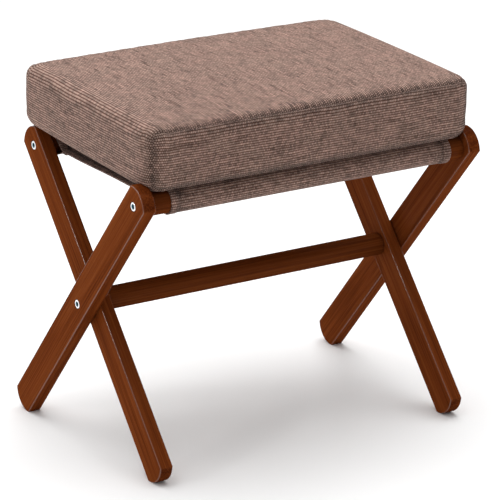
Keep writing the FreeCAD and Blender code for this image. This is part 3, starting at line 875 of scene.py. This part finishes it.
def make_sling():
    places = sling_columns()
    from_edge = cut_width / 2 - np.abs(places)
    hem = np.clip((HEM_WIDTH - from_edge) / HEM_RAMP, 0.0, 1.0) * HEM_RISE
    hem -= HEM_STITCH_DIP * np.exp(-((from_edge - HEM_WIDTH) / MM) ** 2)
    ahead = np.gradient(section, axis=0)
    ahead /= np.linalg.norm(ahead, axis=1)[:, None]

    # The panel sags a little and has faint pulls from the seams, in the middle of the cloth only
    in_panel = np.clip((abs(front_axis.y) - seam_reach - np.abs(section[:, :1])) / SAG_RAMP, 0.0, 1.0)
    in_panel = in_panel * (section[:, 1:] > tail_height + cloth_thickness / 2)
    sag = in_panel * (SAG * np.cos(places / cut_width * math.pi)
                      + RIPPLE * np.sin(places * RIPPLE_ACROSS + section[:, :1] * RIPPLE_ALONG))
    corners = []
    for side, hem_share in ((1.0, 1.0), (-1.0, 0.0)):
        thick = side * (cloth_thickness / 2 - SKIN_GAP + hem_share * hem)
        y = section[:, :1] - ahead[:, 1:] * thick
        z = section[:, 1:] + ahead[:, :1] * thick - sag
        x = np.broadcast_to(places + sling_middle, z.shape)
        corners.append(np.stack([x, y, z], axis=2).reshape(-1, 3))

    rows, columns = len(section), len(places)
    faces = sheet_faces(rows, columns)
    sling = piece_from("cloth_sling", np.concatenate(corners), faces.tolist(), sling_cloth)
    grid = faces.ravel() % (rows * columns)
    coordinates = np.stack([places[grid % columns], section_lengths[grid // columns]], axis=1)
    add_weave(sling.data, coordinates, np.tile(np.abs(from_edge - HEM_WIDTH) + MM, 2 * rows))
    shape = bmesh.new()
    shape.from_mesh(sling.data)
    bmesh.ops.recalc_face_normals(shape, faces=shape.faces[:])
    shape.to_mesh(sling.data)
    shape.free()
    smooth(sling)
    return sling


# %% Sling in place
sling = make_sling()
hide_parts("sling")
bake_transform(sling)
print("sling:", len(sling.data.polygons), "faces, bends between the frames")

# %% [markdown]
# The cushion is a foam block in a sewn cover. One panel of cloth wraps over the top and both ends, with
# its ribs from front to back. A second and third close the front and the back, with their ribs along the
# stool. A remeshed block would swell well but lose its seams. So the cover starts as a rounded box whose
# grid follows the panels: the seams are rows of its vertices, and every face knows its place in the cloth.

# %% Cushion sizes
cushion_low, cushion_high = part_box("cushion_cover")
cushion_half_length = (cushion_high.x - cushion_low.x) / 2
cushion_half_depth, cushion_thickness = 168 * MM, 80 * MM
cushion_crown, cushion_bulge, cushion_fullness = 4 * MM, 1 * MM, 2 * MM
top_round, low_round, corner_round = 13 * MM, 19 * MM, 24 * MM
cushion_setback, seat_clearance = 2.5 * MM, 0.3 * MM
ROUND_CELLS, CELLS_LONG, CELLS_DEEP, CELLS_TALL = 8, 70, 46, 8

leg_top_y = leg_end_centre * math.sin(spread)
leg_top_z = pivot_height + leg_end_centre * math.cos(spread)


def cushion_lie():
    """How the cushion lies on the front sleeve and on the higher tops of the inner legs."""
    sleeve = sleeve_radius + cloth_thickness / 2 + seat_clearance
    leg_top = leg_end_radius + seat_clearance
    back, front = Vector((0, leg_top_y, leg_top_z)), Vector((0, front_axis.y, rail_height))
    reach = back - front
    lean = math.atan2(reach.z, reach.y) + math.asin((leg_top - sleeve) / reach.length)
    touch = front + Vector((0, -math.sin(lean), math.cos(lean))) * sleeve
    height = touch.z + (-cushion_setback - touch.y) * math.tan(lean)
    return Matrix.Translation((0, -cushion_setback, height)) @ Matrix.Rotation(lean, 4, "X")


cushion_place = cushion_lie()
print("cushion leans %.2f degrees" % math.degrees(cushion_place.to_euler().x))

# %% Cushion grid


def stations(low, high, low_radius, high_radius, cells):
    """Places along one edge of the box: fine in the rounded ends, wider between them."""
    middle = np.linspace(low + low_radius, high - high_radius, cells)
    start = np.linspace(low, low + low_radius, ROUND_CELLS + 1)[:-1]
    finish = np.linspace(high - high_radius, high, ROUND_CELLS + 1)[1:]
    return np.concatenate([start, middle, finish])


def arc_length(place, low, high, low_radius, high_radius):
    """Distance along the surface as a place moves along one edge of the box."""
    over = np.clip(place - (high - high_radius), 0, None)
    under = np.clip((low + low_radius) - place, 0, None)
    flat = np.clip(place, low + low_radius, high - high_radius)
    return flat + high_radius * np.arctan(over / high_radius) - low_radius * np.arctan(under / low_radius)


def grid_faces(length_x, length_y, length_z):
    """The box's cells, with each vertex's numbers along X, Y and Z and each corner's place in the cloth."""
    long, deep, tall = (len(length) - 1 for length in (length_x, length_y, length_z))
    wrap = length_x[-1] + length_z[-1]
    numbers, faces, cloth = {}, [], []

    def add(cell, turned_over, uv):
        cell = cell[::-1] if turned_over else cell
        faces.append([numbers.setdefault(place, len(numbers)) for place in cell])
        cloth.extend(uv(*place) for place in cell)

    for i in range(long):
        for j in range(deep):
            for k, under in ((0, True), (tall, False)):
                add([(i, j, k), (i + 1, j, k), (i + 1, j + 1, k), (i, j + 1, k)], under,
                    lambda a, b, c: (length_y[b], length_x[a]))
        for k in range(tall):
            for j, behind in ((0, False), (deep, True)):
                add([(i, j, k), (i + 1, j, k), (i + 1, j, k + 1), (i, j, k + 1)], behind,
                    lambda a, b, c: (length_x[a], length_z[c]))
    for j in range(deep):
        for k in range(tall):
            for i, left, end in ((0, True, -1), (long, False, 1)):
                add([(i, j, k), (i, j + 1, k), (i, j + 1, k + 1), (i, j, k + 1)], left,
                    lambda a, b, c: (length_y[b], end * (wrap - length_z[c])))
    return np.array(list(numbers)), faces, cloth


# %% Cushion form


def seam_distances(lengths, numbers, at_side):
    """The seams run round the front and the back, where those panels meet the long one."""
    nearest = [
        np.minimum(length[number] - length[0], length[-1] - length[number])
        for length, number in zip(lengths, numbers.T)
    ]
    return np.where(at_side, np.minimum(nearest[0], nearest[2]), nearest[1])


def cushion_grid(shrink):
    """The vertices, faces, cloth coordinates and seam distances of the cover."""
    half_x, half_y = cushion_half_length - shrink, cushion_half_depth - shrink
    floor, roof = shrink, cushion_thickness - shrink
    top, low, corner = top_round - shrink, low_round - shrink, corner_round - shrink
    spans = (
        (-half_x, half_x, corner, corner), (-half_y, half_y, corner, corner), (floor, roof, low, top),
    )
    places = [stations(*span, cells) for span, cells in zip(spans, (CELLS_LONG, CELLS_DEEP, CELLS_TALL))]
    lengths = [arc_length(place, *span) for place, span in zip(places, spans)]
    numbers, faces, cloth = grid_faces(*lengths)
    sharp = np.stack([place[number] for place, number in zip(places, numbers.T)], axis=1)

    # Round the box: each vertex moves out from the nearest point of a smaller box inside
    rise = np.clip((sharp[:, 2] - (floor + low)) / (roof - top - floor - low), 0, 1)
    radius = low + (top - low) * rise
    limits = np.array([half_x, half_y]) - radius[:, None]
    centre = np.column_stack([
        np.clip(sharp[:, :2], -limits, limits), np.clip(sharp[:, 2], floor + low, roof - top),
    ])
    outward = sharp - centre
    points = centre + outward * (radius / np.linalg.norm(outward, axis=1))[:, None]

    # The upright corners are rounder than the edges above and below them
    past = np.clip(np.abs(points[:, :2]) - np.array([half_x - corner, half_y - corner]), 0, None)
    cut_in = 1 - math.sqrt(0.5)
    tight = np.clip(np.minimum(past[:, 0], past[:, 1]) / (corner * cut_in), 0, 1)
    pull = (corner - radius) * cut_in * tight ** 2 * (3 - 2 * tight)
    points[:, :2] -= np.sign(points[:, :2]) * pull[:, None]

    # The top is crowned, and the front and back swell
    to_end = 1 - (points[:, 0] / half_x) ** 2
    to_side = 1 - (points[:, 1] / half_y) ** 2
    above = np.clip((points[:, 2] - (roof - top)) / top, 0, 1)
    points[:, 2] += cushion_crown * to_end * to_side * above
    belly = np.sin(np.clip((points[:, 2] - floor) / (roof - floor), 0, 1) * math.pi)
    at_side = np.abs(sharp[:, 1]) > half_y - 1e-9
    points[:, 1] += np.sign(points[:, 1]) * cushion_bulge * to_end * belly * at_side
    return points, faces, cloth, seam_distances(lengths, numbers, at_side)


# %% [markdown]
# The cover starts a little small, and cloth simulation blows it up against its own cloth. Inside a real
# cover the foam pushes back wherever the cloth moves, so a weak pin on every vertex stands for that foam
# and lets the cloth shift only a few millimetres. The seams are told to be a little shorter than the cloth
# beside them, as a sewn seam is, and the pressure then shows up as soft gathers.

# %% Cushion simulation
START_SHRINK, MOST_SWELL = 1.0 * MM, 5.0 * MM
SIMULATED_FRAMES = 20
FOAM_HOLD, SEAM_PULL, SEAM_BAND = 0.25, 0.015, 3 * MM
CLOTH_SETTINGS = {
    "quality": 6, "mass": 0.25, "tension_stiffness": 18, "compression_stiffness": 18,
    "bending_stiffness": 2.0, "use_pressure": True, "uniform_pressure_force": 4.0,
    "vertex_group_mass": "foam", "vertex_group_shrink": "seams", "shrink_min": 0.0, "shrink_max": SEAM_PULL,
}


def fill_cushion(pad, seam):
    """Blows the cover up with cloth simulation, and returns where its vertices end."""
    foam = pad.vertex_groups.new(name="foam")
    foam.add(range(len(seam)), FOAM_HOLD, "REPLACE")
    sewn = pad.vertex_groups.new(name="seams")
    for vertex in np.nonzero(seam < 2 * SEAM_BAND)[0]:
        sewn.add([int(vertex)], math.exp(-(seam[vertex] / SEAM_BAND) ** 2), "REPLACE")
    cloth = pad.modifiers.new("filling", "CLOTH")
    for setting, value in CLOTH_SETTINGS.items():
        setattr(cloth.settings, setting, value)
    cloth.settings.effector_weights.gravity = 0.0
    cloth.point_cache.frame_start, cloth.point_cache.frame_end = 1, SIMULATED_FRAMES
    for moment in range(1, SIMULATED_FRAMES + 1):
        scene.frame_set(moment)
    places = read_points(pad.evaluated_get(bpy.context.evaluated_depsgraph_get()).data)
    pad.modifiers.clear()
    pad.vertex_groups.clear()
    scene.frame_set(1)
    return places


# %% [markdown]
# Two things are finer than the simulation can make, so formulas add them to the filled cover. The seams
# draw in as narrow valleys with small gathers. The outer legs' round tops press a few millimetres into the
# underside, so the cloth there is lifted off them.

# %% Seams and leg tops
SEAM_DEPTH, SEAM_WIDTH = 1.1 * MM, 2.4 * MM
GATHER_DEPTH, GATHER_WIDTH = 0.22 * MM, 7 * MM
PRESS_CLEARANCE, PRESS_BLEND = 0.6 * MM, 5 * MM


def sink_seams(pad):
    mesh = pad.data
    distances = np.zeros(len(mesh.vertices), dtype=np.float32)
    mesh.attributes["seam_distance"].data.foreach_get("value", distances)
    normals, places = read_points(mesh, "normal"), read_points(mesh)
    x, z = places[:, 0], places[:, 2]
    ripple = np.sin(x * 830) * np.sin(z * 910 + 0.7) + np.sin(x * 510 + 1.3)
    valley = SEAM_DEPTH * np.exp(-(distances / SEAM_WIDTH) ** 2)
    gather = GATHER_DEPTH * ripple * np.exp(-(distances / GATHER_WIDTH) ** 2)
    write_points(mesh, places - normals * (valley + gather)[:, None])


def press_on_legs(pad):
    places = read_points(pad.data)
    reach = leg_end_radius + PRESS_CLEARANCE
    leg_inside = outer_low.x - PRESS_CLEARANCE
    over_leg = np.clip((np.abs(places[:, 0]) - (leg_inside - PRESS_BLEND)) / PRESS_BLEND, 0.0, 1.0)
    from_centre = np.clip(np.abs(places[:, 1] + leg_top_y), 0.0, reach)
    top = leg_top_z + np.sqrt(reach ** 2 - from_centre ** 2)
    inside = (places[:, 2] > leg_top_z) & (places[:, 2] < top) & (from_centre < reach)
    lift = np.where(inside, (top - places[:, 2]) * over_leg ** 2 * (3 - 2 * over_leg), 0.0)
    print("the legs press %.1f mm into the cushion" % (float(lift.max()) / MM))
    places[:, 2] += lift
    write_points(pad.data, places)


# %% Cushion


def make_cover():
    points, faces, cloth, seam = cushion_grid(START_SHRINK)
    places = cushion_grid(-cushion_fullness)[0]
    pad = piece_from("cushion", points, faces, cushion_cloth)
    add_weave(pad.data, cloth, seam)
    moved = fill_cushion(pad, seam) - points
    far = np.linalg.norm(moved, axis=1)
    print("cloth moved %.1f mm at most, %.1f mm on average" % (far.max() / MM, far.mean() / MM))
    places += moved * np.minimum(1.0, MOST_SWELL / np.maximum(far, 1e-9))[:, None]
    # The underside is held flat by the sleeve and the leg tops that it rests on
    places[:, 2] = np.maximum(places[:, 2], 0.0)
    write_points(pad.data, places)
    smooth(pad)
    finer = pad.modifiers.new("finer", "SUBSURF")
    finer.levels = finer.render_levels = 1
    finer.uv_smooth = "PRESERVE_BOUNDARIES"
    bake_modifiers(pad)
    sink_seams(pad)
    pad.data.transform(cushion_place)
    press_on_legs(pad)
    return pad


cushion = make_cover()
finish_piece(cushion, "cushion", "cushion_cloth", "cushion_cover")

# %% [markdown]
# The foam block fills the cover but is never seen, so it needs no simulation. It is the same rounded box a
# few millimetres smaller.

# %% Foam core
CORE_SHRINK = 8 * MM
core_points, core_faces, _, _ = cushion_grid(CORE_SHRINK)
core = piece_from("foam_core", core_points, core_faces, core_foam)
smooth(core)
core.data.transform(cushion_place)
finish_piece(core, "cushion", "foam", "cushion_core")

# %% [markdown]
# Two rows of stitches run along each sleeve's seam, and show from above and from below. Bump in the cloth
# could draw them, but real ones stand proud. A stitch is a short rounded bar, and a tree lays one on each
# point along a path.

# %% Stitches
STITCH_LENGTH, STITCH_GAP, STITCH_RADIUS = 3.2 * MM, 0.9 * MM, 0.35 * MM
ROW_INSETS, ROW_MARGIN, ROW_LIFT = (1 * MM, 7 * MM), 3 * MM, 0.62 * MM


def stitch_tree():
    tree, wires, identifiers = geometry_tree("stitch_row", {})
    path = tree.node("MeshToCurve", None, wires["Geometry"])
    spaced = tree.node("ResampleCurve", {"mode": "LENGTH"}, path, Length=STITCH_LENGTH + STITCH_GAP)
    ball = tree.node("MeshUVSphere", None, Segments=6, Rings=4, Radius=1.0)
    stitch = tree.node("Transform", None, ball, Scale=(STITCH_RADIUS, STITCH_RADIUS, STITCH_LENGTH / 2))
    heading = tree.node("FunctionNodeAlignRotationToVector", {"axis": "Z"}, Vector=tree.node("InputTangent"))
    laid = tree.node("InstanceOnPoints", None, spaced, Instance=stitch, Rotation=heading)
    real = tree.node("RealizeInstances", None, laid)
    finish_tree(tree, tree.node("SetShadeSmooth", None, real), sewing_thread)
    return tree, identifiers


stitch_growth, stitch_inputs = stitch_tree()
row_half = cut_width / 2 - ROW_MARGIN
for name, rail_y, inward in (("front", front_axis.y, 1), ("back", back_axis.y, -1)):
    ends = [
        (sling_middle + end * row_half, rail_y + inward * (seam_reach + inset), height)
        for inset in ROW_INSETS
        for height in (panel_height + ROW_LIFT, tail_height - ROW_LIFT)
        for end in (-1, 1)
    ]
    stitches = piece_from("sleeve_stitches_" + name, [], [], sewing_thread)
    stitches.data.from_pydata(ends, [(start, start + 1) for start in range(0, len(ends), 2)], [])
    grow(stitches, stitch_growth, stitch_inputs)
    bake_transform(stitches)
    print(stitches.name, len(stitches.data.polygons), "faces, bends with the sling")

# %% [markdown]
# The floor is a wide pale sheet, and the light is a plain studio: a bright surround that is darker on the
# camera's side, one big soft lamp overhead and a small low one on the left, which the lacquered edges of
# the legs mirror as thin bright lines over their painted highlight. The top of the cushion is the brightest,
# the end next and the front the darkest, and the shadow stays soft and under the stool.

# %% Floor
FLOOR_HALF = 12.0
floor_material, floor_tree, floor_shader = new_material("studio_floor")
floor_place = floor_tree.node("TexCoord").out("Object")
floor_drift = floor_tree.node("TexNoise", None, floor_place, Scale=3.0, Detail=2.0)
floor_colour = floor_tree.mix(floor_drift, (0.89, 0.89, 0.89), (0.91, 0.91, 0.91))
feed(floor_tree, floor_shader, Base_Color=floor_colour, Roughness=0.9, Specular_IOR_Level=0.0)
floor_corners = [(x * FLOOR_HALF, y * FLOOR_HALF, 0) for x, y in ((-1, -1), (1, -1), (1, 1), (-1, 1))]
floor = piece_from("studio_floor", floor_corners, [(0, 1, 2, 3)], floor_material)
floor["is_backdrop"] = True
print("floor:", 2 * FLOOR_HALF, "m wide")

# %% Light
SURROUND_FRONT, SURROUND_BACK = 0.36, 1.12
LIT_POINT = Vector((0.0, 0.0, 0.2))

world = bpy.data.worlds.new("studio")
scene.world = world
world.use_nodes = True
world_tree = Tree(world.node_tree, "ShaderNode")
direction = world_tree.node("TexCoord").out("Generated")
toward_back = world_tree.node("SeparateXYZ", None, direction).out("Y")
surround = world_tree.node("MapRange", None, toward_back, -1.0, 1.0, SURROUND_FRONT, SURROUND_BACK)
background = world.node_tree.nodes["Background"]
background.inputs["Color"].default_value = (1.0, 1.0, 1.0, 1.0)
world_tree.give(background.inputs["Strength"], surround)
scene.view_settings.view_transform = "Standard"


def lamp(name, place, size, power):
    data = bpy.data.lights.new(name, "AREA")
    data.shape, data.size, data.energy = "SQUARE", size, power
    item = bpy.data.objects.new(name, data)
    aim(item, place, LIT_POINT - Vector(place))
    print(name, power, "W")


lamp("overhead", (0.2, 0.32, 3.0), 3.0, 88.0)
lamp("left_edge", (-2.7, -0.1, 1.4), 0.35, 7.0)

# %% [markdown]
# Last, the box of the dressed stool is printed beside the imported one. Cloth may stand a little proud of
# it.

# %% Sizes and finish
dressed_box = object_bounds()
for label, (low, high) in (("packed", cad_box), ("dressed", dressed_box)):
    print(label, [round(value / MM, 1) for value in low], [round(value / MM, 1) for value in high])
